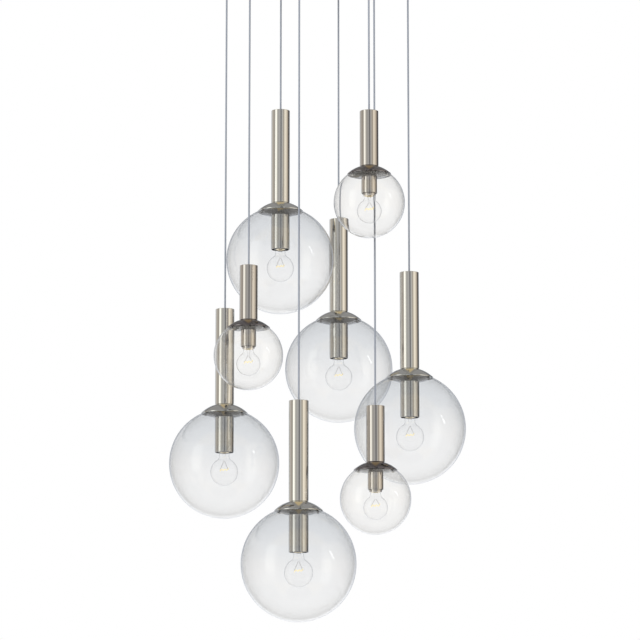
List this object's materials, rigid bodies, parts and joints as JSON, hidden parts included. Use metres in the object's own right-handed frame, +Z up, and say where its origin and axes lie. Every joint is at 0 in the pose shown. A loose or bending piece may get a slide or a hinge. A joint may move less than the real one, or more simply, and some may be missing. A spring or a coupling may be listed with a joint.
{
  "type": "cluster pendant",
  "caption": "Ceiling light: clear glass globes of mixed size at staggered heights, each under a metal stem and domed cap, hung on cords from a round canopy.",
  "frame": {"origin": "on the ceiling plane, at the centre of the canopy and of its bracket's two slots for a ceiling box", "axes": "+Z up into the ceiling, +X to the viewer's right in the picture, +Y away from the viewer"},
  "size_m": [0.8158, 0.8349, 1.947],
  "materials": {
    "satin_nickel": "brushed nickel with a vertical grain",
    "polished_nickel": "polished nickel",
    "zinc_steel": "zinc-plated sheet steel",
    "clear_glass": "clear blown glass",
    "lamp_glass": "clear lamp glass with a warm filament",
    "lampholder": "black moulded lampholder with a metal screw shell",
    "cord_pvc": "smooth blue-grey flexible cord",
    "white_plastic": "moulded white plastic"
  },
  "bodies": {
    "canopy": {"canopy": "satin_nickel", "ceiling_bracket": "zinc_steel", "canopy_hardware": "satin_nickel", "junction_block": "white_plastic"},
    "pendant_1": {"cord_1": "cord_pvc", "stem_1": "satin_nickel", "cap_1": "polished_nickel", "globe_1": "clear_glass", "socket_cup_1": "polished_nickel", "lampholder_1": "lampholder", "bulb_1": "lamp_glass"},
    "pendant_2": {"cord_2": "cord_pvc", "stem_2": "satin_nickel", "cap_2": "polished_nickel", "globe_2": "clear_glass", "socket_cup_2": "polished_nickel", "lampholder_2": "lampholder", "bulb_2": "lamp_glass"},
    "pendant_3": {"cord_3": "cord_pvc", "stem_3": "satin_nickel", "cap_3": "polished_nickel", "globe_3": "clear_glass", "socket_cup_3": "polished_nickel", "lampholder_3": "lampholder", "bulb_3": "lamp_glass"},
    "pendant_4": {"cord_4": "cord_pvc", "stem_4": "satin_nickel", "cap_4": "polished_nickel", "globe_4": "clear_glass", "socket_cup_4": "polished_nickel", "lampholder_4": "lampholder", "bulb_4": "lamp_glass"},
    "pendant_5": {"cord_5": "cord_pvc", "stem_5": "satin_nickel", "cap_5": "polished_nickel", "globe_5": "clear_glass", "socket_cup_5": "polished_nickel", "lampholder_5": "lampholder", "bulb_5": "lamp_glass"},
    "pendant_6": {"cord_6": "cord_pvc", "stem_6": "satin_nickel", "cap_6": "polished_nickel", "globe_6": "clear_glass", "socket_cup_6": "polished_nickel", "lampholder_6": "lampholder", "bulb_6": "lamp_glass"},
    "pendant_7": {"cord_7": "cord_pvc", "stem_7": "satin_nickel", "cap_7": "polished_nickel", "globe_7": "clear_glass", "socket_cup_7": "polished_nickel", "lampholder_7": "lampholder", "bulb_7": "lamp_glass"},
    "pendant_8": {"cord_8": "cord_pvc", "stem_8": "satin_nickel", "cap_8": "polished_nickel", "globe_8": "clear_glass", "socket_cup_8": "polished_nickel", "lampholder_8": "lampholder", "bulb_8": "lamp_glass"}
  },
  "joints": [
    {"name": "swing_1", "type": "hinge", "parent": "canopy", "child": "pendant_1", "pos_m": [-0.11222, 0.193, -0.046], "axis": [0.7071, 0.7071, 0], "range_deg": [-15, 15]},
    {"name": "swing_2", "type": "hinge", "parent": "canopy", "child": "pendant_2", "pos_m": [0.05346, 0.29002, -0.046], "axis": [0.7071, 0.7071, 0], "range_deg": [-3, 15]},
    {"name": "swing_3", "type": "hinge", "parent": "canopy", "child": "pendant_3", "pos_m": [-0.26527, 0.11999, -0.046], "axis": [0.7071, 0.7071, 0], "range_deg": [-1.5, 15]},
    {"name": "swing_4", "type": "hinge", "parent": "canopy", "child": "pendant_4", "pos_m": [0.24562, -0.01, -0.046], "axis": [0.5, 0.866, 0], "range_deg": [-15, 3]},
    {"name": "swing_5", "type": "hinge", "parent": "canopy", "child": "pendant_5", "pos_m": [-0.05628, -0.23998, -0.046], "axis": [0.9659, 0.2588, 0], "range_deg": [-15, 6]},
    {"name": "swing_6", "type": "hinge", "parent": "canopy", "child": "pendant_6", "pos_m": [0.13147, -0.28898, -0.046], "axis": [0.5, 0.866, 0], "range_deg": [-15, 6]},
    {"name": "swing_7", "type": "hinge", "parent": "canopy", "child": "pendant_7", "pos_m": [-0.19587, -0.025, -0.046], "axis": [-0.2588, 0.9659, 0], "range_deg": [-3, 15]},
    {"name": "swing_8", "type": "hinge", "parent": "canopy", "child": "pendant_8", "pos_m": [0.14796, -0.17498, -0.046], "axis": [0.5, 0.866, 0], "range_deg": [-15, 1.5]}
  ]
}
